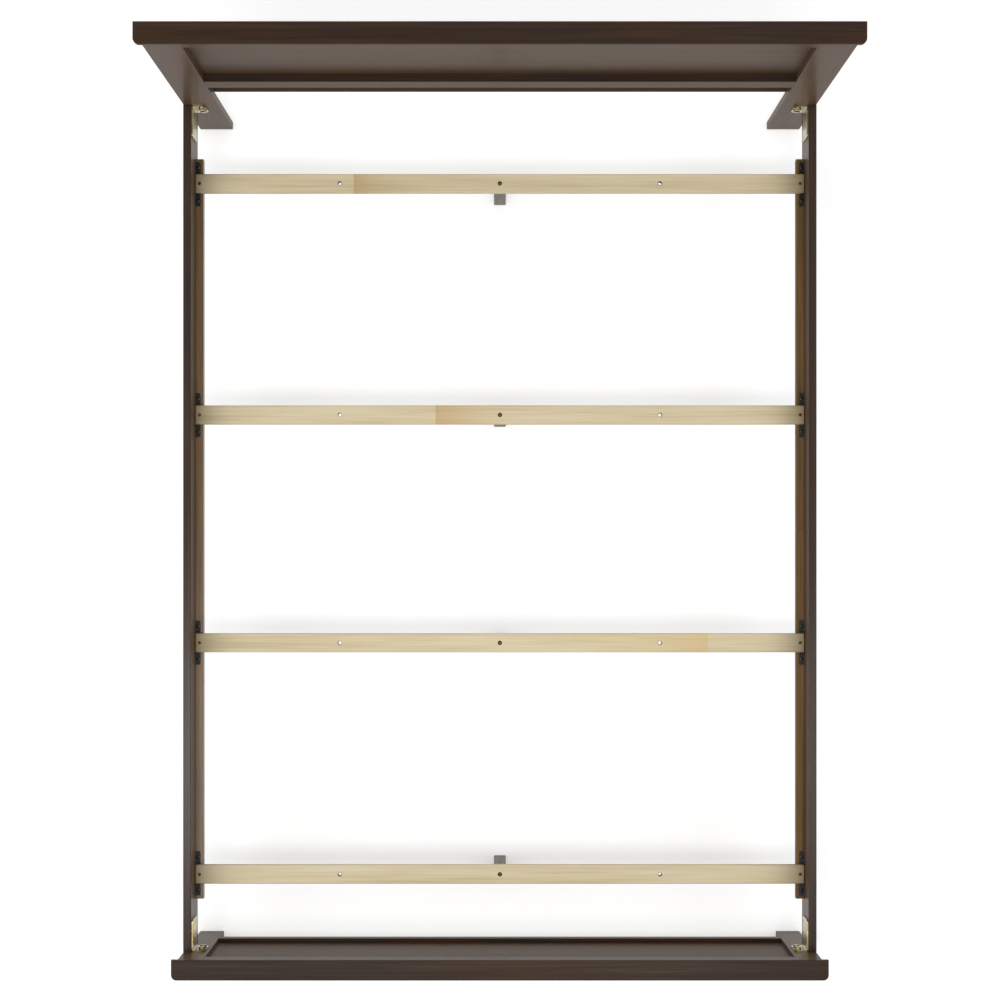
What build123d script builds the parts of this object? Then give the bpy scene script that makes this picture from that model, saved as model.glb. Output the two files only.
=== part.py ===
from build123d import *
import os

os.makedirs("parts", exist_ok=True)

# Full-size bed frame. X runs across the bed, +Y towards the head, Z up from the floor. Millimetres.

# Mattress well between the rails and between the boards
mattress_width = 1372
mattress_length = 1905
mattress_side_room = 11
mattress_end_room = 4.25

# Side rails
rail_thickness = 18
rail_height = 140
rail_top = 360
rail_round = 2

# Headboard: flat posts and rails, a thin panel lapped onto their backs
head_height = 1148
head_thickness = 18
head_post_width = 78
head_top_rail_height = 75
head_bottom_rail_height = 75
head_bottom_rail_lift = 582
head_panel_thickness = 5
head_panel_lift = 422
head_panel_lap = 32
head_panel_drop = 10

# Footboard: posts and rebated rails, a panel dropped in from the mattress side
foot_height = 509
foot_thickness = 31.5
foot_post_width = 56.5
foot_top_rail_height = 62
foot_bottom_rail_height = 32
foot_bottom_rail_lift = 98
foot_panel_thickness = 5
foot_panel_recess = 10.5
foot_rebate_lip = 44
foot_panel_room = 0.5

# Cap boards on both ends, rounded at the two corners that face the foot end
cap_thickness = 18
cap_depth = 45
head_cap_overhang = 10
foot_cap_overhang = 3.5
cap_end_overhang = 10
cap_corner_radius = 12
cap_round = 2.5
board_round = 1.5

# Slats, the cleats under their ends and the centre legs
cleat_width = 17
cleat_height = 30
cleat_lift = 8
cleat_end_gap = 108.5
cleat_chamfer = 1.5
slat_width = 43.5
slat_thickness = 20
slat_round = 3
slat_from_cleat_end = 58.25
slat_inner_share = 0.33
slat_end_room = 0.3
spare_hole_radius = 4
spare_hole_offset = 366
leg_size = 28
leg_chamfer = 1.5
leg_room = 0.2

# Plastic holder round each slat end: a U wall with a screw ear on each side
holder_wall = 2.5
holder_end_wall = 1.2
holder_depth = 10.5
holder_ear_length = 25.5
holder_ear_thickness = 5
holder_ear_radius = 4
holder_below_slat = 5
holder_slat_room = 0.75
holder_round = 0.5

# Corner brackets: bent steel plate bolted to the post and screwed to the rail
bracket_thickness = 3
bracket_rail_length = 72
bracket_post_length = 31
bracket_drop = 11
bracket_rise = 44
bracket_bend_radius = 2
bracket_rail_corner = 6
bracket_post_corner = 14
bracket_bolt_drop = 19
bracket_bolt_pitch = 30
bracket_bolt_from_rail = 21.5
bracket_screw_margin = 16
bracket_screw_end = 12
bracket_screw_pitch = 28

# Bolts, washers and threaded inserts of the brackets
bolt_radius = 4
bolt_bite = 12
bolt_head_across_corners = 15
bolt_head_height = 4
bolt_hole_room = 0.5
washer_radius = 8
washer_thickness = 1.6
insert_radius = 6
insert_length = 14

# Centre-leg screws and their inserts
leg_screw_radius = 3
leg_screw_bite = 13
leg_screw_head_radius = 4.75
leg_screw_head_height = 3.5
leg_screw_seat_depth = 5
leg_screw_room = 0.4
leg_insert_radius = 4.5
leg_insert_length = 16

# Countersunk and pan-head wood screws
screw_radius = 2
screw_head_radius = 4
screw_head_depth = 2
pan_head_height = 2.2
cleat_screw_count = 5
cleat_screw_bite = 12
cleat_screw_end = 148
slat_screw_bite = 18
slat_screw_from_rail = 10
holder_screw_bite = 14
bracket_screw_bite = 13
head_panel_screw_bite = 10
head_panel_row_count = 4
head_panel_screw_margin = 20
head_panel_rail_screw_count = 3
foot_panel_screw_bite = 10
foot_panel_screw_end = 10
foot_panel_screw_height = 34
foot_panel_screw_inner = 116
countersink_angle = 90

# Dowels
dowel_radius = 4
dowel_half_length = 18
cap_dowel_up = 11
cap_dowel_down = 19
cap_dowel_count = 3
rail_dowel_count = 2
low_rail_dowel_count = 1

# Gap round a fastener or dowel in its drilled hole
drill_room = 0.1

# Places worked out from the sizes above
half_well_width = mattress_width / 2 + mattress_side_room
half_well_length = mattress_length / 2 + mattress_end_room
half_width = half_well_width + rail_thickness
well_middle = (head_cap_overhang - foot_cap_overhang) / 2
head_face = well_middle + half_well_length
foot_face = well_middle - half_well_length
rail_bottom = rail_top - rail_height
cleat_bottom = rail_bottom + cleat_lift
slat_bottom = cleat_bottom + cleat_height
slat_top = slat_bottom + slat_thickness
slat_length = 2 * (half_well_width - holder_end_wall - slat_end_room)
cleat_length = 2 * (half_well_length - cleat_end_gap)
slat_reach = cleat_length / 2 - slat_from_cleat_end
slat_shares = (1, slat_inner_share, -slat_inner_share, -1)
slat_places = [well_middle + slat_reach * share for share in slat_shares]
holder_slot = slat_width + 2 * holder_slat_room
holder_span = holder_slot + 2 * holder_wall
ear_screw_offset = holder_span / 2 + holder_ear_length / 2
cleat_middle = half_well_width - cleat_width / 2
slat_screw_place = half_well_width - slat_screw_from_rail
ear_screw_place = half_well_width - holder_depth / 2
head_cap_bottom = head_height - cap_thickness
head_opening = half_width - head_post_width
head_middle = head_face + head_thickness / 2
head_top_rail_lift = head_cap_bottom - head_top_rail_height
head_back = head_face + head_thickness
foot_cap_bottom = foot_height - cap_thickness
foot_opening = half_width - foot_post_width
foot_middle = foot_face - foot_thickness / 2
foot_top_rail_lift = foot_cap_bottom - foot_top_rail_height
foot_panel_lift = foot_bottom_rail_lift + foot_bottom_rail_height
foot_panel_face = foot_face - foot_panel_recess
bracket_bottom = rail_bottom + bracket_rise
bracket_top = rail_top - bracket_drop
bracket_middle = (bracket_bottom + bracket_top) / 2
bracket_height = bracket_top - bracket_bottom
drilled_screw = screw_radius + drill_room
drilled_dowel = dowel_radius + drill_room
sides = ((-1, "left"), (1, "right"))
ends = ((1, "head"), (-1, "foot"))


def save(piece, name):
    """Label a finished piece and write it as its own node."""
    piece.part.label = name
    export_step(piece.part, f"parts/{name}.step")


def spread(reach, count):
    """Evenly spaced places from -reach to +reach."""
    return [reach * (2 * number / (count - 1) - 1) for number in range(count)]


def at_corner(side, end, along_rail, from_rail, height):
    """Point in a corner of the well, measured from the board's face and from the rail's face."""
    along = well_middle + end * (half_well_length - along_rail)
    return (side * (half_well_width - from_rail), along, height)


def facing(points, direction):
    """One plane on each point, looking along the given direction."""
    return [Plane(origin=point, z_dir=direction) for point in points]


# Fastener places
top_bolt = bracket_top - bracket_bolt_drop
bolt_heights = (top_bolt - bracket_bolt_pitch, top_bolt)
bracket_screw_heights = (bracket_bottom + bracket_screw_margin, bracket_top - bracket_screw_margin)
bracket_screw_outer = bracket_rail_length - bracket_screw_end
bracket_screw_places = (bracket_screw_outer, bracket_screw_outer - bracket_screw_pitch)
cleat_screw_reach = cleat_length / 2 - cleat_screw_end
cleat_screw_places = [well_middle + place for place in spread(cleat_screw_reach, cleat_screw_count)]


def bolt_seats(side, end, along_rail):
    """Bolt axes of one bracket, on planes that face along the rail to the bed's middle."""
    points = [at_corner(side, end, along_rail, bracket_bolt_from_rail, height) for height in bolt_heights]
    return facing(points, (0, -end, 0))


def bracket_screw_seats(side, end, from_rail):
    """Wood screw axes of one bracket, on planes that face across the bed."""
    points = []
    for height in bracket_screw_heights:
        points += [at_corner(side, end, place, from_rail, height) for place in bracket_screw_places]
    return facing(points, (-side, 0, 0))


def cleat_screw_seats(side, from_rail):
    """Cleat screw axes, on planes that face across the bed."""
    height = cleat_bottom + cleat_height / 2
    points = [(side * (half_well_width - from_rail), place, height) for place in cleat_screw_places]
    return facing(points, (-side, 0, 0))


def slat_screw_points(side, height):
    """Screw places in the slat ends over one cleat."""
    return [(side * slat_screw_place, place, height) for place in slat_places]


def holder_screw_points(side, height):
    """Screw places in the ears of the holders on one cleat."""
    points = []
    for place in slat_places:
        points.append((side * ear_screw_place, place - ear_screw_offset, height))
        points.append((side * ear_screw_place, place + ear_screw_offset, height))
    return points


def frame_dowel_points(side, opening, middle, rails):
    """Dowel places where rails meet a post: each rail is its underside, its height and its count."""
    points = []
    for lift, height, count in rails:
        rows = [lift + height * (number + 0.5) / count for number in range(count)]
        points += [(side * opening, middle, row) for row in rows]
    return points


def cap_dowel_points(opening, middle, height):
    """Dowel places under a cap, along the top rail."""
    return [(place, middle, height) for place in spread(opening * 2 / 3, cap_dowel_count)]


def cap_post_dowel_point(side, post_width, middle, height):
    """Dowel place under a cap, in the top of a post."""
    return (side * (half_width - post_width / 2), middle, height)


head_rails = (
    (head_top_rail_lift, head_top_rail_height, rail_dowel_count),
    (head_bottom_rail_lift, head_bottom_rail_height, rail_dowel_count),
)
foot_rails = (
    (foot_top_rail_lift, foot_top_rail_height, rail_dowel_count),
    (foot_bottom_rail_lift, foot_bottom_rail_height, low_rail_dowel_count),
)
head_panel_half = head_opening + head_panel_lap
head_panel_top = head_cap_bottom - head_panel_drop
head_panel_height = head_panel_top - head_panel_lift
head_post_screw_place = head_opening + (head_panel_lap + dowel_half_length) / 2
head_panel_row_reach = head_panel_height / 2 - head_panel_screw_margin
head_panel_centre = head_panel_lift + head_panel_height / 2
head_panel_rows = [head_panel_centre + row for row in spread(head_panel_row_reach, head_panel_row_count)]
head_rail_screw_places = spread(head_opening / 2, head_panel_rail_screw_count)


def head_post_screw_points(side, depth):
    """Panel screw places over one headboard post."""
    return [(side * head_post_screw_place, depth, row) for row in head_panel_rows]


def head_rail_screw_points(lift, height, depth):
    """Panel screw places over one headboard rail."""
    return [(place, depth, lift + height / 2) for place in head_rail_screw_places]


def foot_panel_screw_points(height, depth):
    """Panel screw places along one rebate lip of the footboard."""
    outer = foot_opening - foot_panel_screw_end
    places = (-outer, -foot_panel_screw_inner, foot_panel_screw_inner, outer)
    return [(place, depth, height) for place in places]


foot_low_screws = foot_panel_lift + foot_panel_screw_height
foot_high_screws = foot_top_rail_lift - foot_panel_screw_height

# Headboard posts
for side, side_name in sides:
    with BuildPart() as head_post:
        with BuildSketch():
            with Locations((side * (half_width - head_post_width / 2), head_middle)):
                Rectangle(head_post_width, head_thickness)
        extrude(amount=head_cap_bottom)
        fillet(head_post.edges().filter_by(Axis.Z), board_round)
        with Locations(*bolt_seats(side, 1, 0)):
            Hole(insert_radius + drill_room, insert_length + drill_room)
        rail_dowels = frame_dowel_points(side, head_opening, head_middle, head_rails)
        with Locations(*facing(rail_dowels, (-side, 0, 0))):
            Hole(drilled_dowel, dowel_half_length + drill_room)
        with Locations(cap_post_dowel_point(side, head_post_width, head_middle, head_cap_bottom)):
            Hole(drilled_dowel, cap_dowel_down + drill_room)
        with Locations(*facing(head_post_screw_points(side, head_back), (0, 1, 0))):
            Hole(drilled_screw, head_panel_screw_bite + drill_room)
    save(head_post, f"headboard_post_{side_name}")


def head_rail(lift, height, cap_points):
    """Headboard rail between the posts, with dowel and screw holes, and cap dowel holes where it has them."""
    with BuildPart() as rail:
        with BuildSketch(Plane.XY.offset(lift)):
            with Locations((0, head_middle)):
                Rectangle(2 * head_opening, head_thickness)
        extrude(amount=height)
        for side, side_name in sides:
            rows = frame_dowel_points(side, head_opening, head_middle, ((lift, height, rail_dowel_count),))
            with Locations(*facing(rows, (side, 0, 0))):
                Hole(drilled_dowel, dowel_half_length + drill_room)
        with Locations(*facing(head_rail_screw_points(lift, height, head_back), (0, 1, 0))):
            Hole(drilled_screw, head_panel_screw_bite + drill_room)
        for point in cap_points:
            with Locations(point):
                Hole(drilled_dowel, cap_dowel_down + drill_room)
    return rail


head_top_rail = head_rail(
    head_top_rail_lift, head_top_rail_height, cap_dowel_points(head_opening, head_middle, head_cap_bottom)
)
save(head_top_rail, "headboard_top_rail")
head_bottom_rail = head_rail(head_bottom_rail_lift, head_bottom_rail_height, [])
save(head_bottom_rail, "headboard_bottom_rail")

# Headboard panel and its screws, driven from the back
head_panel_back = head_back + head_panel_thickness
head_screw_points = []
for side, side_name in sides:
    head_screw_points += head_post_screw_points(side, head_panel_back)
head_screw_points += head_rail_screw_points(head_top_rail_lift, head_top_rail_height, head_panel_back)
head_screw_points += head_rail_screw_points(head_bottom_rail_lift, head_bottom_rail_height, head_panel_back)
head_screw_seats = facing(head_screw_points, (0, 1, 0))

with BuildPart() as head_panel:
    with BuildSketch(Plane.XY.offset(head_panel_lift)):
        with Locations((0, head_back + head_panel_thickness / 2)):
            Rectangle(2 * head_panel_half, head_panel_thickness)
    extrude(amount=head_panel_height)
    with Locations(*head_screw_seats):
        Hole(drilled_screw, head_panel_thickness)
save(head_panel, "headboard_panel")


def cap_board(lift, middle, dowel_points):
    """Cap board with two rounded corners, eased edges and blind dowel holes in its underside."""
    with BuildPart() as cap:
        with BuildSketch(Plane.XY.offset(lift)):
            with Locations((0, middle)):
                Rectangle(2 * (half_width + cap_end_overhang), cap_depth)
            fillet(vertices().group_by(Axis.Y)[0], cap_corner_radius)
        extrude(amount=cap_thickness)
        fillet(faces().filter_by(Axis.Z).edges(), cap_round)
        with Locations(*facing(dowel_points, (0, 0, -1))):
            Hole(drilled_dowel, cap_dowel_up + drill_room)
    return cap


def cap_dowels(dowel_points):
    """Dowels that stand in a board's top edge and reach into its cap."""
    seats = facing(dowel_points, (0, 0, 1))
    with BuildPart() as dowels:
        with BuildSketch(*seats):
            Circle(dowel_radius)
        extrude(amount=cap_dowel_up)
        with BuildSketch(*seats):
            Circle(dowel_radius)
        extrude(amount=-cap_dowel_down)
    return dowels


def frame_dowels(opening, middle, rails):
    """Dowels between the rails and the posts of one board."""
    with BuildPart() as dowels:
        for side, side_name in sides:
            with BuildSketch(*facing(frame_dowel_points(side, opening, middle, rails), (side, 0, 0))):
                Circle(dowel_radius)
            extrude(amount=dowel_half_length, both=True)
    return dowels


def pan_head_screws(seats, length):
    """Screws whose round heads stand on the given planes."""
    with BuildPart() as screws:
        with BuildSketch(*seats):
            Circle(screw_head_radius)
        extrude(amount=pan_head_height)
        with BuildSketch(*seats):
            Circle(screw_radius)
        extrude(amount=-length)
    return screws


def countersunk_screws(seats, length):
    """Screws whose flat heads lie flush in the given planes."""
    with BuildPart() as screws:
        with Locations(*seats):
            Cone(
                screw_radius,
                screw_head_radius,
                screw_head_depth,
                align=(Align.CENTER, Align.CENTER, Align.MAX),
            )
        with BuildSketch(*seats):
            Circle(screw_radius)
        extrude(amount=-length)
    return screws


head_screw_length = head_panel_thickness + head_panel_screw_bite
save(pan_head_screws(head_screw_seats, head_screw_length), "headboard_panel_screws")

head_cap_points = cap_dowel_points(head_opening, head_middle, head_cap_bottom)
for side, side_name in sides:
    head_cap_points.append(cap_post_dowel_point(side, head_post_width, head_middle, head_cap_bottom))
head_cap_middle = head_face - head_cap_overhang + cap_depth / 2
save(cap_board(head_cap_bottom, head_cap_middle, head_cap_points), "headboard_cap")
save(cap_dowels(head_cap_points), "headboard_cap_dowels")
save(frame_dowels(head_opening, head_middle, head_rails), "headboard_frame_dowels")

# Footboard posts
for side, side_name in sides:
    with BuildPart() as foot_post:
        with BuildSketch():
            with Locations((side * (half_width - foot_post_width / 2), foot_middle)):
                Rectangle(foot_post_width, foot_thickness)
        extrude(amount=foot_cap_bottom)
        fillet(foot_post.edges().filter_by(Axis.Z), board_round)
        with Locations(*bolt_seats(side, -1, 0)):
            Hole(insert_radius + drill_room, insert_length + drill_room)
        rail_dowels = frame_dowel_points(side, foot_opening, foot_middle, foot_rails)
        with Locations(*facing(rail_dowels, (-side, 0, 0))):
            Hole(drilled_dowel, dowel_half_length + drill_room)
        with Locations(cap_post_dowel_point(side, foot_post_width, foot_middle, foot_cap_bottom)):
            Hole(drilled_dowel, cap_dowel_down + drill_room)
    save(foot_post, f"footboard_post_{side_name}")


def foot_rail(lift, height, lip_lift, screw_height, dowel_count, cap_points):
    """Footboard rail between the posts: a full-thickness bar with a thin lip on its outer face."""
    lip_depth = foot_thickness - foot_panel_recess - foot_panel_thickness
    lip_face = foot_panel_face - foot_panel_thickness
    with BuildPart() as rail:
        with BuildSketch(Plane.YZ):
            with Locations((foot_middle, lift + height / 2)):
                Rectangle(foot_thickness, height)
            with Locations((lip_face - lip_depth / 2, lip_lift + foot_rebate_lip / 2)):
                Rectangle(lip_depth, foot_rebate_lip)
        extrude(amount=foot_opening, both=True)
        for side, side_name in sides:
            rows = frame_dowel_points(side, foot_opening, foot_middle, ((lift, height, dowel_count),))
            with Locations(*facing(rows, (side, 0, 0))):
                Hole(drilled_dowel, dowel_half_length + drill_room)
        with Locations(*facing(foot_panel_screw_points(screw_height, lip_face), (0, 1, 0))):
            Hole(drilled_screw, foot_panel_screw_bite + drill_room)
        for point in cap_points:
            with Locations(point):
                Hole(drilled_dowel, cap_dowel_down + drill_room)
    return rail


foot_top_rail = foot_rail(
    foot_top_rail_lift,
    foot_top_rail_height,
    foot_top_rail_lift - foot_rebate_lip,
    foot_high_screws,
    rail_dowel_count,
    cap_dowel_points(foot_opening, foot_middle, foot_cap_bottom),
)
save(foot_top_rail, "footboard_top_rail")
foot_bottom_rail = foot_rail(
    foot_bottom_rail_lift, foot_bottom_rail_height, foot_panel_lift, foot_low_screws, low_rail_dowel_count, []
)
save(foot_bottom_rail, "footboard_bottom_rail")

# Footboard panel, its screws and its cap
foot_screw_points = foot_panel_screw_points(foot_low_screws, foot_panel_face)
foot_screw_points += foot_panel_screw_points(foot_high_screws, foot_panel_face)
foot_screw_seats = facing(foot_screw_points, (0, 1, 0))

with BuildPart() as foot_panel:
    with BuildSketch(Plane.XY.offset(foot_panel_lift + foot_panel_room)):
        with Locations((0, foot_panel_face - foot_panel_thickness / 2)):
            Rectangle(2 * (foot_opening - foot_panel_room), foot_panel_thickness)
    extrude(amount=foot_top_rail_lift - foot_panel_lift - 2 * foot_panel_room)
    with Locations(*foot_screw_seats):
        Hole(drilled_screw, foot_panel_thickness)
save(foot_panel, "footboard_panel")

foot_screw_length = foot_panel_thickness + foot_panel_screw_bite
save(pan_head_screws(foot_screw_seats, foot_screw_length), "footboard_panel_screws")

foot_cap_points = cap_dowel_points(foot_opening, foot_middle, foot_cap_bottom)
for side, side_name in sides:
    foot_cap_points.append(cap_post_dowel_point(side, foot_post_width, foot_middle, foot_cap_bottom))
foot_cap_middle = foot_face + foot_cap_overhang - cap_depth / 2
save(cap_board(foot_cap_bottom, foot_cap_middle, foot_cap_points), "footboard_cap")
save(cap_dowels(foot_cap_points), "footboard_cap_dowels")
save(frame_dowels(foot_opening, foot_middle, foot_rails), "footboard_frame_dowels")

# Side rails with pilot holes for the bracket and cleat screws
for side, side_name in sides:
    with BuildPart() as side_rail:
        with BuildSketch(Plane.XZ.offset(-well_middle)):
            with Locations((side * (half_well_width + rail_thickness / 2), rail_bottom + rail_height / 2)):
                Rectangle(rail_thickness, rail_height)
            fillet(vertices(), rail_round)
        extrude(amount=half_well_length, both=True)
        for end, end_name in ends:
            with Locations(*bracket_screw_seats(side, end, 0)):
                Hole(drilled_screw, bracket_screw_bite + drill_room)
        with Locations(*cleat_screw_seats(side, 0)):
            Hole(drilled_screw, cleat_screw_bite + drill_room)
    save(side_rail, f"side_rail_{side_name}")

# Cleats along the rails, drilled for the slats and the holders
for side, side_name in sides:
    with BuildPart() as cleat:
        with BuildSketch(Plane.XZ.offset(-well_middle)):
            with Locations((side * cleat_middle, cleat_bottom + cleat_height / 2)):
                Rectangle(cleat_width, cleat_height)
            inner_corners = vertices().sort_by(Axis.X)[:2] if side > 0 else vertices().sort_by(Axis.X)[-2:]
            chamfer(inner_corners, cleat_chamfer)
        extrude(amount=cleat_length / 2, both=True)
        with Locations(*cleat_screw_seats(side, cleat_width)):
            CounterSinkHole(
                drilled_screw, screw_head_radius + drill_room, cleat_width, countersink_angle
            )
        with Locations(*slat_screw_points(side, slat_bottom)):
            Hole(drilled_screw, slat_screw_bite + drill_room)
        with Locations(*holder_screw_points(side, slat_bottom)):
            Hole(drilled_screw, holder_screw_bite + drill_room)
    save(cleat, f"slat_cleat_{side_name}")


cleat_seats = cleat_screw_seats(-1, cleat_width) + cleat_screw_seats(1, cleat_width)
save(countersunk_screws(cleat_seats, cleat_width + cleat_screw_bite), "cleat_screws")

# Slats
for number, place in enumerate(slat_places, start=1):
    with BuildPart() as slat:
        with BuildSketch(Plane.YZ):
            with Locations((place, slat_bottom + slat_thickness / 2)):
                Rectangle(slat_width, slat_thickness)
            fillet(vertices(), slat_round)
        extrude(amount=slat_length / 2, both=True)
        with Locations((-spare_hole_offset, place, slat_top), (spare_hole_offset, place, slat_top)):
            Hole(spare_hole_radius, slat_thickness)
        with Locations((0, place, slat_top)):
            CounterBoreHole(
                leg_screw_radius + leg_screw_room,
                leg_screw_head_radius + leg_screw_room,
                leg_screw_seat_depth,
                slat_thickness,
            )
        with Locations((-slat_screw_place, place, slat_top), (slat_screw_place, place, slat_top)):
            CounterSinkHole(
                drilled_screw, screw_head_radius + drill_room, slat_thickness, countersink_angle
            )
    save(slat, f"slat_{number}")

slat_seats = facing(slat_screw_points(-1, slat_top) + slat_screw_points(1, slat_top), (0, 0, 1))
save(countersunk_screws(slat_seats, slat_thickness + slat_screw_bite), "slat_end_screws")

# Slat holders
for side, side_name in sides:
    for number, place in enumerate(slat_places, start=1):
        corner = (side * half_well_width, place, slat_bottom)
        seat = Plane(origin=corner, x_dir=(-side, 0, 0), z_dir=(0, 0, 1))
        with BuildPart() as holder:
            with BuildSketch(seat):
                with Locations((holder_depth / 2, 0)):
                    Rectangle(holder_depth, holder_span + 2 * holder_ear_length)
                fillet(vertices().group_by(Axis.X)[-1 if side < 0 else 0], holder_ear_radius)
            extrude(amount=holder_ear_thickness)
            with BuildSketch(seat):
                with Locations((holder_depth / 2, 0)):
                    Rectangle(holder_depth, holder_span)
            extrude(amount=slat_thickness - holder_below_slat)
            with BuildSketch(seat):
                with Locations((holder_end_wall + holder_depth / 2, 0)):
                    Rectangle(holder_depth, holder_slot)
            extrude(amount=slat_thickness, mode=Mode.SUBTRACT)
            fillet(holder.faces().sort_by(Axis.Z)[-1].edges(), holder_round)
            ear_height = slat_bottom + holder_ear_thickness
            ear_points = [(side * ear_screw_place, place + offset, ear_height)
                          for offset in (-ear_screw_offset, ear_screw_offset)]
            with Locations(*ear_points):
                Hole(drilled_screw, holder_ear_thickness)
        save(holder, f"slat_holder_{side_name}_{number}")

ear_top = slat_bottom + holder_ear_thickness
ear_seats = facing(holder_screw_points(-1, ear_top) + holder_screw_points(1, ear_top), (0, 0, 1))
save(pan_head_screws(ear_seats, holder_ear_thickness + holder_screw_bite), "slat_holder_screws")

# Centre legs, each with a threaded insert in its top and one screw down through the slat
leg_top = slat_bottom - leg_room
leg_screw_seat = slat_top - leg_screw_seat_depth + leg_room
leg_screw_length = leg_screw_seat - leg_top + leg_screw_bite

for number, place in enumerate(slat_places, start=1):
    with BuildPart() as leg:
        with BuildSketch():
            with Locations((0, place)):
                Rectangle(leg_size, leg_size)
            chamfer(vertices(), leg_chamfer)
        extrude(amount=leg_top)
        with Locations((0, place, leg_top)):
            Hole(leg_insert_radius + drill_room, leg_insert_length + drill_room)
    save(leg, f"centre_leg_{number}")

    with BuildPart() as leg_insert:
        with BuildSketch(Plane.XY.offset(leg_top)):
            with Locations((0, place)):
                Circle(leg_insert_radius)
                Circle(leg_screw_radius + drill_room, mode=Mode.SUBTRACT)
        extrude(amount=-leg_insert_length)
    save(leg_insert, f"leg_insert_{number}")

    with BuildPart() as leg_screw:
        with BuildSketch(Plane.XY.offset(leg_screw_seat)):
            with Locations((0, place)):
                Circle(leg_screw_head_radius)
        extrude(amount=leg_screw_head_height)
        with BuildSketch(Plane.XY.offset(leg_screw_seat)):
            with Locations((0, place)):
                Circle(leg_screw_radius)
        extrude(amount=-leg_screw_length)
    save(leg_screw, f"leg_screw_{number}")

# Corner brackets: an L section with a true bend, rounded free corners and drilled flanges
for end, end_name in ends:
    for side, side_name in sides:
        section = Plane(
            origin=at_corner(side, end, 0, 0, bracket_middle), x_dir=(0, -end, 0), z_dir=(0, 0, -end * side)
        )
        with BuildPart() as bracket:
            with BuildSketch(section):
                with BuildLine():
                    Polyline(
                        (0, 0),
                        (bracket_rail_length, 0),
                        (bracket_rail_length, bracket_thickness),
                        (bracket_thickness, bracket_thickness),
                        (bracket_thickness, bracket_post_length),
                        (0, bracket_post_length),
                        close=True,
                    )
                make_face()
            extrude(amount=bracket_height / 2, both=True)
            upright = bracket.edges().filter_by(Axis.Z)
            outer_bend = upright.sort_by_distance(at_corner(side, end, 0, 0, bracket_middle))[0]
            bend_point = at_corner(side, end, bracket_thickness, bracket_thickness, bracket_middle)
            inner_bend = upright.sort_by_distance(bend_point)[0]
            fillet(outer_bend, bracket_bend_radius + bracket_thickness)
            fillet(inner_bend, bracket_bend_radius)
            rail_end = bracket.edges().filter_by(Axis.X).group_by(Axis.Y)[0 if end > 0 else -1]
            fillet(rail_end, bracket_rail_corner)
            post_end = bracket.edges().filter_by(Axis.Y).group_by(Axis.X)[0 if side > 0 else -1]
            fillet(post_end, bracket_post_corner)
            with Locations(*bolt_seats(side, end, bracket_thickness)):
                Hole(bolt_radius + bolt_hole_room, bracket_thickness)
            with Locations(*bracket_screw_seats(side, end, bracket_thickness)):
                CounterSinkHole(
                    drilled_screw, screw_head_radius + drill_room, bracket_thickness, countersink_angle
                )
        save(bracket, f"corner_bracket_{end_name}_{side_name}")

# Bracket hardware
corners = [(side, end) for side, side_name in sides for end, end_name in ends]
insert_seats = []
washer_seats = []
bolt_head_seats = []
rail_screw_seats = []
for side, end in corners:
    insert_seats += bolt_seats(side, end, 0)
    washer_seats += bolt_seats(side, end, bracket_thickness)
    bolt_head_seats += bolt_seats(side, end, bracket_thickness + washer_thickness)
    rail_screw_seats += bracket_screw_seats(side, end, bracket_thickness)

with BuildPart() as post_inserts:
    with BuildSketch(*insert_seats):
        Circle(insert_radius)
        Circle(bolt_radius + drill_room, mode=Mode.SUBTRACT)
    extrude(amount=-insert_length)
save(post_inserts, "post_inserts")

with BuildPart() as bracket_washers:
    with BuildSketch(*washer_seats):
        Circle(washer_radius)
        Circle(bolt_radius + bolt_hole_room, mode=Mode.SUBTRACT)
    extrude(amount=washer_thickness)
save(bracket_washers, "bracket_washers")

with BuildPart() as bracket_bolts:
    with BuildSketch(*bolt_head_seats):
        RegularPolygon(bolt_head_across_corners / 2, 6)
    extrude(amount=bolt_head_height)
    with BuildSketch(*bolt_head_seats):
        Circle(bolt_radius)
    extrude(amount=-(washer_thickness + bracket_thickness + bolt_bite))
save(bracket_bolts, "bracket_bolts")

save(countersunk_screws(rail_screw_seats, bracket_thickness + bracket_screw_bite), "bracket_screws")
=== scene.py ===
"""Dresses the bed frame: stained and bare timber, plated brackets and screws, moulded slat holders."""

import math

import bpy
import numpy as np
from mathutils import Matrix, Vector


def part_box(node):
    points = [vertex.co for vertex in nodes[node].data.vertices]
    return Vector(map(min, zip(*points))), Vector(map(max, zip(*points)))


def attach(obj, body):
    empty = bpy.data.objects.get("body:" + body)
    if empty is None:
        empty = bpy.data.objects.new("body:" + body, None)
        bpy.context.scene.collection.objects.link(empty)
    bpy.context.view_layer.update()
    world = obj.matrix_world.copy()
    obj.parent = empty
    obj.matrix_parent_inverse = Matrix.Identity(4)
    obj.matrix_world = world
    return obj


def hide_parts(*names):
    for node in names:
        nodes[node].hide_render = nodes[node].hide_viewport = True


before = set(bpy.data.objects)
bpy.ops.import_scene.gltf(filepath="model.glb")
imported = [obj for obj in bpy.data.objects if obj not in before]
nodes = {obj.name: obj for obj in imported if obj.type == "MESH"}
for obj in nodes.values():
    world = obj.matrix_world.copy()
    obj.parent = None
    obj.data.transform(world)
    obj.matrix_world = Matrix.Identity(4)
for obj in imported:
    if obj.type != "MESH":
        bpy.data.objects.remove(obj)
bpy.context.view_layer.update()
MM = 0.001
sides = (-1, 1)


def limits(node, axis):
    """Where a CAD node starts and ends along an axis, in millimetres."""
    return [getattr(corner, axis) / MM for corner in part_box(node)]


def middle(node, axis):
    """The middle of a CAD node along an axis, in millimetres."""
    return sum(limits(node, axis)) / 2


# Materials


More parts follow.
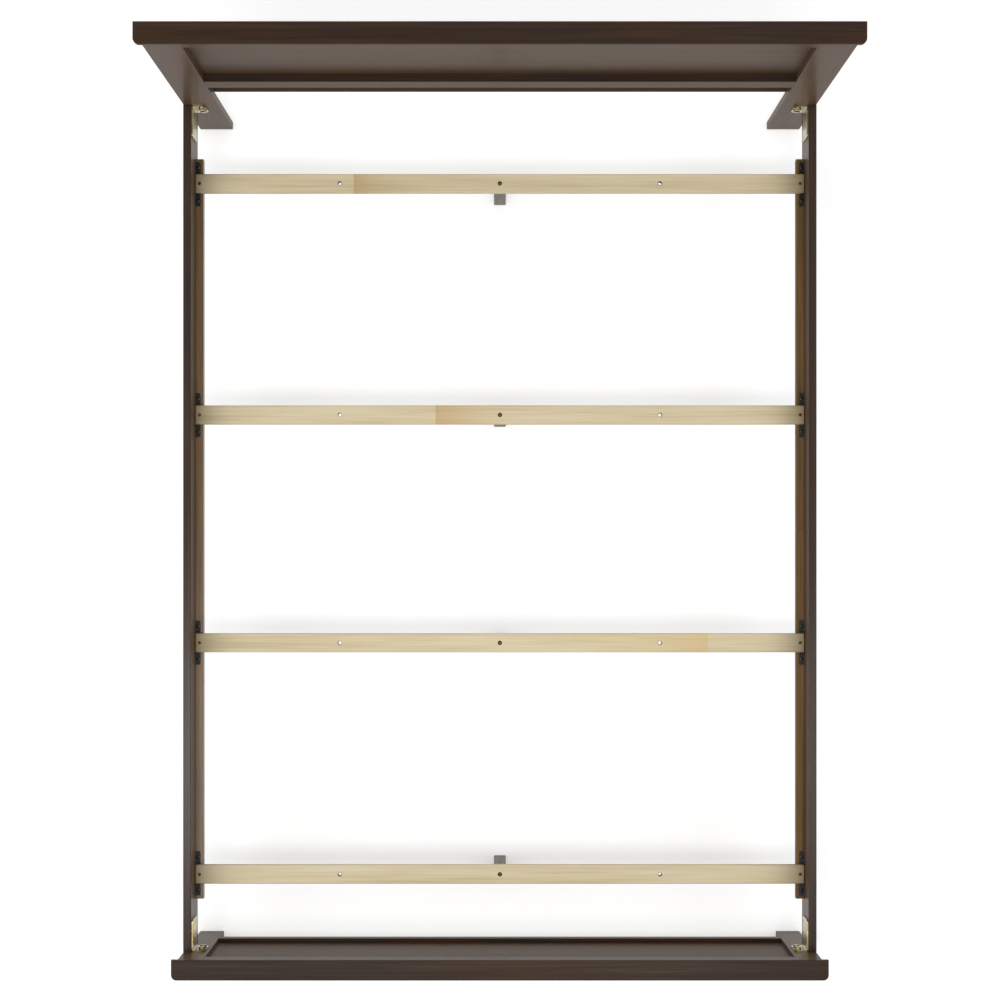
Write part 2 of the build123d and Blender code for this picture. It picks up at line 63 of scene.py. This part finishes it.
def linear(code):
    """sRGB hex to the linear colour that a socket takes."""
    parts = [int(code[place : place + 2], 16) / 255 for place in (1, 3, 5)]
    return [part / 12.92 if part <= 0.04045 else ((part + 0.055) / 1.055) ** 2.4 for part in parts] + [1.0]


def add(tree, kind, links=None, stops=(), **settings):
    """Adds one shader node. links maps an input's name or number to a value or to another node's output,
    stops are a colour ramp's positions and hex colours, and settings are the node's own."""
    made = tree.nodes.new("ShaderNode" + kind)
    for name, value in settings.items():
        setattr(made, name, value)
    for place, value in (links or {}).items():
        if isinstance(value, bpy.types.NodeSocket):
            tree.links.new(value, made.inputs[place])
        else:
            made.inputs[place].default_value = value
    for number, (position, colour) in enumerate(stops):
        if number >= len(made.color_ramp.elements):
            made.color_ramp.elements.new(1.0)
        made.color_ramp.elements[number].position = position
        made.color_ramp.elements[number].color = linear(colour)
    return made


def new_material(name, constants):
    """An empty material with its surface shader. constants are the shader's values that hold all over."""
    material = bpy.data.materials.new(name)
    material.use_nodes = True
    tree = material.node_tree
    surface = tree.nodes["Principled BSDF"]
    for socket, value in constants.items():
        surface.inputs[socket].default_value = value
    return material, tree, surface


def stretched(axis, along, across):
    """Pattern scale for wood whose grain runs along one axis. along and across are in millimetres."""
    scale = [1 / (across * MM)] * 3
    scale["xyz".index(axis)] = 1 / (along * MM)
    return scale


def spread(shades, low, high):
    """Ramp stops at even steps from low to high, the range that most of a noise's values lie in."""
    return [(low + (high - low) * number / (len(shades) - 1), shade) for number, shade in enumerate(shades)]


def grained(tree, surface, axis, seed, fibre, band, shades, depth):
    """Timber's tone: long thin fibres over broad soft bands, both drawn out along the grain.
    fibre and band are (along, across), and depth is how far the fibres stand up, all in millimetres.
    Gives the coordinates and the colour."""
    # every board, and each layer of its pattern, lies at another spot of the noise
    board_shift = (3.7, 5.1, 2.3)
    layer_shift = 11.3
    band_share = 0.55
    place = add(tree, "TexCoord").outputs["Object"]
    tones = []
    for number, size in enumerate((fibre, band)):
        shift = [seed * step for step in board_shift]
        shift[0] += number * layer_shift
        spot = add(tree, "Mapping", {"Vector": place, "Scale": stretched(axis, *size), "Location": shift})
        noise = {"Vector": spot.outputs[0], "Scale": 1.0, "Detail": 3.0}
        tones.append(add(tree, "TexNoise", noise).outputs[0])
    tone = add(tree, "Mix", {0: band_share, 2: tones[0], 3: tones[1]}, data_type="FLOAT").outputs[0]
    stops = spread(shades, low=0.34, high=0.66)
    colour = add(tree, "ValToRGB", {"Fac": tone}, stops=stops).outputs["Color"]
    bump = add(tree, "Bump", {"Height": tones[0], "Strength": 0.5, "Distance": depth * MM})
    tree.links.new(bump.outputs[0], surface.inputs["Normal"])
    return place, colour


# a thin clear coat, and a warm haze that shows on faces seen edge-on
lacquer = {"Roughness": 0.5, "IOR": 1.5, "Coat Roughness": 0.2, "Coat IOR": 1.5}
lacquer |= {"Sheen Weight": 0.11, "Sheen Roughness": 0.4, "Sheen Tint": linear("#dca974")}


def espresso_lacquer(board, axis, gloss, coat, seed):
    """Stained hardwood under a thin sprayed lacquer: nearly black brown, faint streaks along the grain,
    slow drifts between red and grey brown, and a clear skin that lifts faces seen edge-on."""
    skin = lacquer | {"Specular IOR Level": gloss, "Coat Weight": coat}
    material, tree, surface = new_material("espresso_lacquer_" + board, skin)
    # real pores are under 1 mm wide; 5 mm streaks are what the picture can show
    streak = (240, 5)
    band = (800, 34)
    drift = (330, 90)
    shades = ("#241a14", "#31241c", "#3d2e23", "#4b3b2e")
    grey_to_red = ("#352b26", "#442d1d")
    drift_share = 0.4
    place, colour = grained(tree, surface, axis, seed, streak, band, shades, depth=0.12)
    spot = add(tree, "Mapping", {"Vector": place, "Scale": stretched(axis, *drift), "Location": [seed] * 3})
    hue = add(tree, "TexNoise", {"Vector": spot.outputs[0], "Scale": 1.0, "Detail": 2.0}).outputs[0]
    stops = spread(grey_to_red, low=0.38, high=0.62)
    tint = add(tree, "ValToRGB", {"Fac": hue}, stops=stops).outputs["Color"]
    mixed = add(tree, "Mix", {0: drift_share, 6: colour, 7: tint}, data_type="RGBA").outputs[2]
    tree.links.new(mixed, surface.inputs["Base Color"])
    return material


def leave_bare(material, below, behind):
    """On the front, below a height in millimetres, the lacquer stops: dull dark stain on bare board.
    The back, from a depth in millimetres on, is coated all over."""
    bare_stain = linear("#231e1d")
    bare_roughness = 0.95
    tree = material.node_tree
    surface = tree.nodes["Principled BSDF"]
    stained = surface.inputs["Base Color"].links[0].from_socket
    smooth = surface.inputs["Roughness"].default_value
    thickness = surface.inputs["Coat Weight"].default_value
    apart = add(tree, "SeparateXYZ", {0: add(tree, "TexCoord").outputs["Object"]})
    above = add(tree, "Math", {0: apart.outputs["Z"], 1: below * MM}, operation="GREATER_THAN").outputs[0]
    back = add(tree, "Math", {0: apart.outputs["Y"], 1: behind * MM}, operation="GREATER_THAN").outputs[0]
    coated = add(tree, "Math", {0: above, 1: back}, operation="MAXIMUM").outputs[0]
    colour = add(tree, "Mix", {0: coated, 6: bare_stain, 7: stained}, data_type="RGBA").outputs[2]
    rough = add(tree, "Mix", {0: coated, 2: bare_roughness, 3: smooth}, data_type="FLOAT").outputs[0]
    coat = add(tree, "Math", {0: coated, 1: thickness}, operation="MULTIPLY").outputs[0]
    tree.links.new(colour, surface.inputs["Base Color"])
    tree.links.new(rough, surface.inputs["Roughness"])
    tree.links.new(coat, surface.inputs["Coat Weight"])


# for each board the way its grain runs, the stain's own gloss and the coat's thickness
boards = {
    "headboard_post_left": ("z", 0.035, 0.15),
    "headboard_post_right": ("z", 0.035, 0.15),
    "headboard_top_rail": ("x", 0.04, 0.16),
    "headboard_bottom_rail": ("x", 0.03, 0.12),
    "headboard_panel": ("x", 0.07, 0.1),
    "headboard_cap": ("x", 0.02, 0.12),
    "footboard_post_left": ("z", 0.08, 0.16),
    "footboard_post_right": ("z", 0.08, 0.16),
    "footboard_top_rail": ("x", 0.07, 0.14),
    "footboard_bottom_rail": ("x", 0.05, 0.14),
    "footboard_panel": ("x", 0.04, 0.08),
    "footboard_cap": ("x", 0.04, 0.14),
    "side_rail_left": ("y", 0.015, 0.3),
    "side_rail_right": ("y", 0.015, 0.3),
}
for number, (board, (axis, gloss, coat)) in enumerate(boards.items(), start=1):
    nodes[board].data.materials[0] = espresso_lacquer(board, axis, gloss, coat, seed=number)
lacquer_end = limits("headboard_bottom_rail", "z")[0]
leave_bare(nodes["headboard_panel"].data.materials[0], lacquer_end, middle("headboard_panel", "y"))


# how far the fingers of a joint reach, in millimetres
finger = 7


def after(tree, place, axis, start, way, fade):
    """1 at a joint line across the grain, or where a slat's painted end shade starts, falling away to one
    side of it: e to the power of -distance / fade. Along a slat's edge the line steps to and fro, as finger
    joints do."""
    apart = add(tree, "SeparateXYZ", {0: place})
    steps = add(tree, "Math", {0: apart.outputs["Z"], 1: finger * MM}, operation="PINGPONG").outputs[0]
    along = add(tree, "Math", {0: apart.outputs[axis], 1: steps}, operation="ADD").outputs[0]
    shift = add(tree, "Math", {0: along, 1: way, 2: -way * start * MM}, operation="MULTIPLY_ADD").outputs[0]
    past = add(tree, "Math", {0: shift, 1: 0.0}, operation="GREATER_THAN").outputs[0]
    share = add(tree, "Math", {0: shift, 1: -1 / (fade * MM)}, operation="MULTIPLY").outputs[0]
    fall = add(tree, "Math", {0: math.e, 1: share}, operation="POWER").outputs[0]
    return add(tree, "Math", {0: past, 1: fall}, operation="MULTIPLY").outputs[0]


def jointed(tree, place, colour, axis, joints):
    """Lays joints over a timber's colour, and on the slats the painted shade at their ends too. Each has a
    place along the grain in millimetres, the side that is darker, how far that fades, its shade and its
    strength."""
    for start, way, fade, shade, strength in joints:
        share = after(tree, place, axis, start, way, fade)
        share = add(tree, "Math", {0: share, 1: strength}, operation="MULTIPLY").outputs[0]
        colour = add(tree, "Mix", {0: share, 6: colour, 7: linear(shade)}, data_type="RGBA").outputs[2]
    return colour


# a drilled hole's distance from its slat's middle and the radius of the painted shade on its wall and round
# its rim, in millimetres;
# the hole's own radius is 4
hole_offset = 366
shaded_rim = 5


def planed_slat(number, joints):
    """Bare planed softwood in finger-jointed lengths: pale cream, fine straight grain and no gloss, with
    brown painted shade in and round its drilled holes, and painted shade towards both ends that comes in
    with the joints."""
    material, tree, surface = new_material(f"planed_softwood_{number}", {"Roughness": 0.62, "IOR": 1.5})
    shades = ("#cbb994", "#d8c7a1", "#dfd0ac", "#e5d8b8")
    # painted shade: the hole's wall and a ring round it, brown as if in shadow
    hole_shade = linear("#5b4526")
    fibre = (170, 3.6)
    band = (420, 26)
    seed = 20 + number
    place, colour = grained(tree, surface, "x", seed, fibre, band, shades, depth=0.15)
    colour = jointed(tree, place, colour, "X", joints)
    apart = add(tree, "SeparateXYZ", {0: place})
    flat = add(tree, "CombineXYZ", {"X": apart.outputs["X"], "Y": apart.outputs["Y"]}).outputs[0]
    for side in sides:
        hole = (side * hole_offset * MM, middle(f"slat_{number}", "y") * MM, 0)
        away = add(tree, "VectorMath", {0: flat, 1: hole}, operation="DISTANCE").outputs["Value"]
        near = add(tree, "Math", {0: away, 1: shaded_rim * MM}, operation="LESS_THAN").outputs[0]
        colour = add(tree, "Mix", {0: near, 6: colour, 7: hole_shade}, data_type="RGBA").outputs[2]
    tree.links.new(colour, surface.inputs["Base Color"])
    return material


# each slat's joints, as jointed takes them
slat_joints = {
    1: [(-332, 1, 60, "#b88d4d", 0.6)],
    2: [(-145, 1, 105, "#c79c5e", 0.6)],
    3: [(478, -1, 145, "#d7b574", 0.55)],
    4: [],
}
# painted shadow of the rails and slat holders: each slat darker towards both ends; the right end's line lies
# past the reach of its fingers
slat_end = limits("slat_1", "x")[1]
past_fingers = slat_end + finger + 1
end_shade = [(-slat_end, 1, 32, "#6b5936", 0.85), (past_fingers, -1, 32, "#6f5a30", 1.0)]
for number, joints in slat_joints.items():
    nodes[f"slat_{number}"].data.materials[0] = planed_slat(number, joints + end_shade)


def cleat_strip(side, roughness, seed, joints):
    """Raw brown strip wood, sawn: warm streaks along its length, from a low sheen to dull."""
    material, tree, surface = new_material(f"sawn_strip_{side}", {"Roughness": roughness, "IOR": 1.5})
    shades = ("#523a1b", "#684c22", "#765628", "#815f31")
    fibre = (130, 4)
    band = (500, 12)
    place, colour = grained(tree, surface, "y", seed, fibre, band, shades, depth=0.2)
    tree.links.new(jointed(tree, place, colour, "Y", joints), surface.inputs["Base Color"])
    return material


# for each strip its roughness, its seed and its joints
strips = {
    "left": (0.3, 31, []),
    "right": (0.7, 32, [(5, 1, 50, "#6b421c", 0.7)]),
}
for side, (roughness, seed, joints) in strips.items():
    nodes[f"slat_cleat_{side}"].data.materials[0] = cleat_strip(side, roughness, seed, joints)


def leg_timber():
    """Square-sawn hardwood with a thin grey-brown stain: mottled, dull, darker in its open grain."""
    material, tree, surface = new_material("grey_stained_hardwood", {"Roughness": 0.6, "IOR": 1.5})
    shades = ("#4a4239", "#5f564a", "#6d6356", "#7c7264")
    fibre = (70, 4)
    band = (160, 12)
    seed = 41
    _, colour = grained(tree, surface, "z", seed, fibre, band, shades, depth=0.2)
    tree.links.new(colour, surface.inputs["Base Color"])
    return material


def dowel_timber():
    """Turned beech: even, pinkish and fine."""
    material, tree, surface = new_material("turned_beech", {"Roughness": 0.55, "IOR": 1.5})
    shades = ("#b98d62", "#c79c71", "#d2a97f")
    fibre = (30, 2)
    band = (80, 6)
    seed = 43
    _, colour = grained(tree, surface, "z", seed, fibre, band, shades, depth=0.05)
    tree.links.new(colour, surface.inputs["Base Color"])
    return material


def moulded_plastic():
    """Black polypropylene from a sparked mould: fine even grain, low sheen."""
    finish = {"Base Color": linear("#0f1112"), "Roughness": 0.48, "IOR": 1.49, "Specular IOR Level": 0.3}
    material, tree, surface = new_material("moulded_polypropylene", finish)
    # the mould's grain is about 0.3 mm; 1.2 mm shows
    grain = 1.2
    grain_depth = 0.15
    place = add(tree, "TexCoord").outputs["Object"]
    grit = add(tree, "TexNoise", {"Vector": place, "Scale": 1 / (grain * MM), "Detail": 1.0}).outputs[0]
    bump = add(tree, "Bump", {"Height": grit, "Strength": 0.25, "Distance": grain_depth * MM})
    tree.links.new(bump.outputs[0], surface.inputs["Normal"])
    return material


def plated(name, shades, cloud, roughness):
    """Pressed or turned steel with a plated skin: metal whose tint drifts in clouds. cloud is their width in
    millimetres."""
    material, tree, surface = new_material(name, {"Roughness": roughness, "Metallic": 1.0})
    place = add(tree, "TexCoord").outputs["Object"]
    drift = add(tree, "TexNoise", {"Vector": place, "Scale": 1 / (cloud * MM), "Detail": 3.0}).outputs[0]
    stops = spread(shades, low=0.36, high=0.64)
    colour = add(tree, "ValToRGB", {"Fac": drift}, stops=stops).outputs["Color"]
    tree.links.new(colour, surface.inputs["Base Color"])
    return material


plastic = moulded_plastic()
leg_wood = leg_timber()
beech = dowel_timber()
# in turn a pale brass, a cool silver, a worn grey, a dark brown and a soft charcoal
yellow_zinc = plated("yellow_chromated_zinc", ("#85764b", "#9b8d60", "#b4a87e"), cloud=30, roughness=0.25)
bright_zinc = plated("bright_zinc_plate", ("#b4b6b8", "#c6c8c9", "#d2d2d0"), cloud=6, roughness=0.34)
dull_zinc = plated("dulled_zinc_plate", ("#56524c", "#6b665f", "#827c73"), cloud=5, roughness=0.42)
bronzed = plated("bronzed_steel", ("#453820", "#5a492a", "#6e5a36"), cloud=5, roughness=0.5)
charcoal_shades = ("#3a3632", "#4c4640", "#5e574f")
black_phosphate = plated("black_phosphated_steel", charcoal_shades, cloud=5, roughness=0.36)

for name, piece in nodes.items():
    if name.startswith("slat_holder_") and name != "slat_holder_screws":
        piece.data.materials[0] = plastic
    elif name.startswith("centre_leg_"):
        piece.data.materials[0] = leg_wood
    elif name.endswith("_dowels"):
        piece.data.materials[0] = beech
    elif name.startswith("corner_bracket_"):
        piece.data.materials[0] = yellow_zinc
    elif name.startswith("leg_insert_") or name == "post_inserts":
        piece.data.materials[0] = bright_zinc


# Fasteners


def placed(name, data, location=(0, 0, 0), turn=(0, 0, 0)):
    """Puts a mesh, lamp or camera into the scene."""
    thing = bpy.data.objects.new(name, data)
    thing.location = location
    thing.rotation_euler = turn
    bpy.context.scene.collection.objects.link(thing)
    return thing


def on_seats(rings, seats, poles):
    """Copies a closed shape onto seats. rings is an array (ring, step round, xyz) in millimetres, with z
    along the fastener's axis and its head up. A seat is a point and the direction that the head faces.
    Consecutive rings are joined by quads; with poles the first and last ring close on their own middles,
    and without them on each other."""
    count, around = rings.shape[:2]
    middles = np.stack([rings[0].mean(0), rings[-1].mean(0)]) if poles else np.zeros((0, 3))
    shape = np.concatenate([rings.reshape(-1, 3), middles])
    here = np.arange(count * around).reshape(count, around)
    beside = np.roll(here, -1, axis=1)
    if poles:
        low, high = slice(None, -1), slice(1, None)
        quads = np.stack([here[low], beside[low], beside[high], here[high]], -1).reshape(-1, 4)
        foot = np.stack([np.full(around, count * around), beside[0], here[0]], -1)
        top = np.stack([np.full(around, count * around + 1), here[-1], beside[-1]], -1)
        fans = np.concatenate([foot, top])
    else:
        above = np.roll(here, -1, axis=0)
        above_beside = np.roll(beside, -1, axis=0)
        quads = np.stack([here, beside, above_beside, above], -1).reshape(-1, 4)
        fans = np.zeros((0, 3), int)
    points, faces = [], []
    for number, (origin, way) in enumerate(seats):
        way = np.array(way, float)
        side = np.cross(way, (0.0, 0.0, 1.0) if abs(way[2]) < 0.5 else (0.0, 1.0, 0.0))
        axes = np.stack([side, np.cross(way, side), way])
        points.append((np.array(origin, float) + shape @ axes) * MM)
        faces += (quads + number * len(shape)).tolist() + (fans + number * len(shape)).tolist()
    return np.concatenate(points), faces


def fasteners(name, node, rings, seats, material, body="bed_frame", poles=True):
    """One visible piece in place of a CAD node: fasteners on their seats, smooth but for real edges, that
    ride on a body."""
    real_edge = math.radians(32)
    points, faces = on_seats(rings, seats, poles)
    mesh = bpy.data.meshes.new(name)
    mesh.from_pydata(points, [], faces)
    mesh.materials.append(material)
    mesh.shade_smooth()
    mesh.set_sharp_from_angle(angle=real_edge)
    piece = placed(name, mesh)
    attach(piece, body)
    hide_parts(node)


def turned(profile, around=40):
    """A profile of (radius, height) pairs carried round the axis: each pair becomes one ring."""
    angle = np.linspace(0, 2 * np.pi, around, endpoint=False)
    radius, height = np.array(profile, float).T
    x = radius[:, None] * np.cos(angle)
    y = radius[:, None] * np.sin(angle)
    return np.stack([x, y, np.broadcast_to(height[:, None], x.shape)], -1)


def with_cross(rings, reach, half_width, depth):
    """Sinks a cross-shaped driver recess into the rings of a screw's head: a point goes down by depth where
    it lies inside either arm, with a short slope at the arm's edges. What is below the head's top stays."""
    slope = 0.5
    x, y, z = np.moveaxis(rings, -1, 0)
    near, far = np.minimum(abs(x), abs(y)), np.maximum(abs(x), abs(y))
    inside = np.clip((half_width - near) / slope + 0.5, 0, 1) * np.clip((reach - far) / slope + 0.5, 0, 1)
    # a countersunk head's top lies at height 0
    on_head = z > 0.2 * z.max() if z.max() > 0 else z > -0.05
    return np.stack([x, y, z - depth * inside * on_head], -1)


def head_rings(rim, crown, curve=2.0):
    """Head surface from its rim to its middle: height is crown times 1 minus (radius / rim) to the power of
    curve."""
    shares = np.array([1.0, 0.93, 0.84, 0.74, 0.64, 0.54, 0.45, 0.36, 0.28, 0.2, 0.13, 0.06])
    return [(radius, crown * (1 - (radius / rim) ** curve)) for radius in shares * rim]


def screw_tip(radius, length):
    """The end of a screw's shaft: a cone two and a half radii long with a small blunt point."""
    return [(0.3, -length), (radius, -length + 2.5 * radius)]


def pan_head(radius, head_radius, head_height, length):
    """A pan-head screw: flat underside, short rim, domed top with a cross recess."""
    rim = 0.45 * head_height
    surface = head_rings(head_radius * 0.97, head_height - rim, curve=2.6)
    dome = [(ring_radius, rim + ring_height) for ring_radius, ring_height in surface]
    side = [(radius, 0.0), (head_radius, 0.0), (head_radius, rim * 0.85)]
    rings = turned(screw_tip(radius, length) + side + dome)
    reach, half_width = head_radius * 0.56, head_radius * 0.13
    return with_cross(rings, reach, half_width, depth=head_height * 0.6)


def flat_head(radius, head_radius, head_depth, length):
    """A countersunk screw: a cone under a flat top with a cross recess."""
    cone = [(radius, -head_depth), (head_radius, -0.12)]
    rings = turned(screw_tip(radius, length) + cone + head_rings(head_radius * 0.98, crown=0.0))
    reach, half_width = head_radius * 0.58, head_radius * 0.14
    return with_cross(rings, reach, half_width, depth=head_depth * 0.6)


# steps round a bolt or washer
bolt_steps = 48


def hex_bolt(radius, corner, height, length):
    """A hexagon bolt: its radius is the flat's distance over the cosine of the angle from the flat, and a
    cone takes the corners off the top."""
    angle = np.linspace(0, 2 * np.pi, bolt_steps, endpoint=False)
    flat = corner * math.cos(math.pi / 6)
    hexagon = flat / np.cos((angle % (math.pi / 3)) - math.pi / 6)
    crown = 0.95 * flat
    fall = height - (hexagon - crown) * math.tan(math.radians(30))
    shaft = [(0.5, -length), (radius, 1.0 - length), (radius, 0.0)]
    head = [(hexagon, 0.0), (hexagon, fall), (crown, height), (0.3 * crown, height)]
    even = np.ones(bolt_steps)
    radii = np.array([ring_radius * even for ring_radius, _ in shaft + head])
    heights = np.array([ring_height * even for _, ring_height in shaft + head])
    return np.stack([radii * np.cos(angle), radii * np.sin(angle), heights], -1)


def flat_washer(hole, rim, thickness):
    """A stamped washer: a rectangle with its outer corners eased, carried round the axis and closed on
    itself."""
    ease = 0.3
    section = [(hole, 0.0), (rim - ease, 0.0), (rim, ease), (rim, thickness - ease), (rim - ease, thickness)]
    return turned(section + [(hole, thickness)], bolt_steps)


# sizes in millimetres: shaft and head radius and head height; of the washer hole, rim and thickness
flat_screw = (2, 4, 2)
pan_screw = (2, 4, 2.2)
leg_screw = (3, 4.75, 3.5)
corner_bolt = (4, 7.5, 4)
corner_washer = (4.5, 8, 1.6)
slat_screw_length = 38
holder_screw_length = 19
cleat_screw_length = 28
leg_screw_length = 28.4
corner_bolt_length = 16.6
bracket_screw_length = 16
panel_screw_length = 15

# places in millimetres
slat_screw_from_rail = 10
ear_screw_from_rail = 5.25
ear_screw_offset = 37.75
ear_thickness = 5
cleat_screw_end = 148
cleat_screw_shares = (-1, -0.5, 0, 0.5, 1)
bracket_thickness = 3
bolt_from_rail = 21.5
bolt_heights = (300, 330)
bracket_screw_heights = (280, 333)
bracket_screw_places = (60, 32)
foot_screw_heights = (164, 395)
foot_screw_places = (-648.5, -116, 116, 648.5)
back_post_place = 662
back_post_heights = (442, 661.3, 880.7, 1100)
back_rail_places = (-318.5, 0, 318.5)
back_rail_heights = (619.5, 1092.5)

up = (0, 0, 1)
headwards = (0, 1, 0)
slat_places = [middle(f"slat_{number}", "y") for number in slat_joints]
slat_top = limits("slat_1", "z")[1]
rail_face = limits("side_rail_right", "x")[0]
rail_ends = dict(zip(sides, limits("side_rail_right", "y")))
cleat_face = limits("slat_cleat_right", "x")[0]
cleat_top = limits("slat_cleat_right", "z")[1]
cleat_height = middle("slat_cleat_right", "z")
cleat_middle = middle("slat_cleat_right", "y")
cleat_screw_reach = limits("slat_cleat_right", "y")[1] - cleat_middle - cleat_screw_end

slat_seats = []
ear_seats = []
cleat_seats = []
for side in sides:
    for place in slat_places:
        slat_seats.append(((side * (rail_face - slat_screw_from_rail), place, slat_top), up))
        for offset in (-ear_screw_offset, ear_screw_offset):
            ear = (side * (rail_face - ear_screw_from_rail), place + offset, cleat_top + ear_thickness)
            ear_seats.append((ear, up))
    for share in cleat_screw_shares:
        place = cleat_middle + share * cleat_screw_reach
        cleat_seats.append(((side * cleat_face, place, cleat_height), (-side, 0, 0)))
slat_screw = flat_head(*flat_screw, slat_screw_length)
fasteners("slat_screws", "slat_end_screws", slat_screw, slat_seats, bronzed)
holder_screw = pan_head(*pan_screw, holder_screw_length)
fasteners("holder_screws", "slat_holder_screws", holder_screw, ear_seats, black_phosphate)
cleat_screw = flat_head(*flat_screw, cleat_screw_length)
fasteners("strip_screws", "cleat_screws", cleat_screw, cleat_seats, black_phosphate)

leg_bolt = pan_head(*leg_screw, leg_screw_length)
for number, place in enumerate(slat_places, start=1):
    node = f"leg_screw_{number}"
    leg_seat = ((0, place, limits(node, "z")[1] - leg_screw[2]), up)
    fasteners(f"leg_bolt_{number}", node, leg_bolt, [leg_seat], dull_zinc, f"leg_{number}")

bolt_seats = []
washer_seats = []
bracket_seats = []
for side in sides:
    for end in sides:
        washer_place = rail_ends[end] - end * bracket_thickness
        bolt_place = rail_ends[end] - end * (bracket_thickness + corner_washer[2])
        for height in bolt_heights:
            across = side * (rail_face - bolt_from_rail)
            washer_seats.append(((across, washer_place, height), (0, -end, 0)))
            bolt_seats.append(((across, bolt_place, height), (0, -end, 0)))
        for height in bracket_screw_heights:
            for along in bracket_screw_places:
                across = side * (rail_face - bracket_thickness)
                bracket_seats.append(((across, rail_ends[end] - end * along, height), (-side, 0, 0)))
bolt = hex_bolt(*corner_bolt, corner_bolt_length)
fasteners("corner_bolts", "bracket_bolts", bolt, bolt_seats, yellow_zinc)
washer = flat_washer(*corner_washer)
fasteners("corner_washers", "bracket_washers", washer, washer_seats, yellow_zinc, poles=False)
bracket_screw = flat_head(*flat_screw, bracket_screw_length)
fasteners("corner_screws", "bracket_screws", bracket_screw, bracket_seats, yellow_zinc)

panel_screw = pan_head(*pan_screw, panel_screw_length)
panel_face = limits("footboard_panel", "y")[1]
foot_seats = []
for height in foot_screw_heights:
    foot_seats += [((across, panel_face, height), headwards) for across in foot_screw_places]
fasteners("foot_screws", "footboard_panel_screws", panel_screw, foot_seats, black_phosphate)

panel_back = limits("headboard_panel", "y")[1]
back_seats = []
for side in sides:
    back_seats += [((side * back_post_place, panel_back, height), headwards) for height in back_post_heights]
for across in back_rail_places:
    back_seats += [((across, panel_back, height), headwards) for height in back_rail_heights]
fasteners("back_screws", "headboard_panel_screws", panel_screw, back_seats, black_phosphate)


# Floor, light and camera


def in_picture(tree):
    """1 for rays that show the background: straight, in a reflection or through something clear."""
    ray = add(tree, "LightPath").outputs
    seen = {0: ray["Is Camera Ray"], 1: ray["Is Glossy Ray"]}
    clear = {0: add(tree, "Math", seen, operation="MAXIMUM").outputs[0], 1: ray["Is Transmission Ray"]}
    return add(tree, "Math", clear, operation="MAXIMUM").outputs[0]


# white paint that shows nearly plain white and still takes soft shadows
floor_reach = 60
floor_lift = 0.42
corners = [(-floor_reach, -floor_reach), (floor_reach, -floor_reach)]
corners += [(floor_reach, floor_reach), (-floor_reach, floor_reach)]
floor_mesh = bpy.data.meshes.new("floor")
floor_mesh.from_pydata([(x, y, 0) for x, y in corners], [], [(0, 1, 2, 3)])
floor = placed("floor", floor_mesh)
floor_paint = bpy.data.materials.new("white_studio_floor")
floor_paint.use_nodes = True
tree = floor_paint.node_tree
tree.nodes.remove(tree.nodes["Principled BSDF"])
paint = add(tree, "BsdfDiffuse", {"Color": linear("#e8e8e8")})
lift = add(tree, "Math", {0: in_picture(tree), 1: floor_lift}, operation="MULTIPLY")
glow = add(tree, "Emission", {"Strength": lift.outputs[0]})
both = add(tree, "AddShader", {0: paint.outputs[0], 1: glow.outputs[0]})
tree.links.new(both.outputs[0], tree.nodes["Material Output"].inputs["Surface"])
floor_mesh.materials.append(floor_paint)

# the sky lights the object more from the horizon than from the zenith, and shows as plain white
horizon = 0.7
zenith = 0.5
plain_white = 1.0
world = bpy.data.worlds.new("soft_studio")
bpy.context.scene.world = world
world.use_nodes = True
tree = world.node_tree
upward = add(tree, "SeparateXYZ", {0: add(tree, "TexCoord").outputs["Generated"]}).outputs["Z"]
level = add(tree, "MapRange", {0: upward, 1: 0.0, 2: 1.0, 3: horizon, 4: zenith}).outputs[0]
shown = add(tree, "Mix", {0: in_picture(tree), 2: level, 3: plain_white}, data_type="FLOAT").outputs[0]
tree.links.new(shown, tree.nodes["Background"].inputs["Strength"])
tree.nodes["Background"].inputs["Color"].default_value = (1, 1, 1, 1)

lean = math.radians(34)
for side in sides:
    lamp = bpy.data.lights.new("soft_lamp", "SUN")
    lamp.energy = 0.31
    lamp.angle = math.radians(30)
    placed("soft_lamp", lamp, turn=(0, side * lean, 0))

softbox = bpy.data.lights.new("softbox", "AREA")
softbox.shape = "RECTANGLE"
softbox.size = 3.6
softbox.size_y = 0.9
softbox.energy = 120
placed("softbox", softbox, location=(-0.4, -1.0, 7.0))

camera = bpy.data.cameras.new("camera")
camera.sensor_width = 36
camera.lens = 99.53
camera.shift_x = 0.00013
camera.shift_y = 0.06
camera.clip_end = 100
bpy.context.scene.camera = placed("camera", camera, location=(0, -0.068, 6.6))
bpy.context.scene.view_settings.view_transform = "Standard"
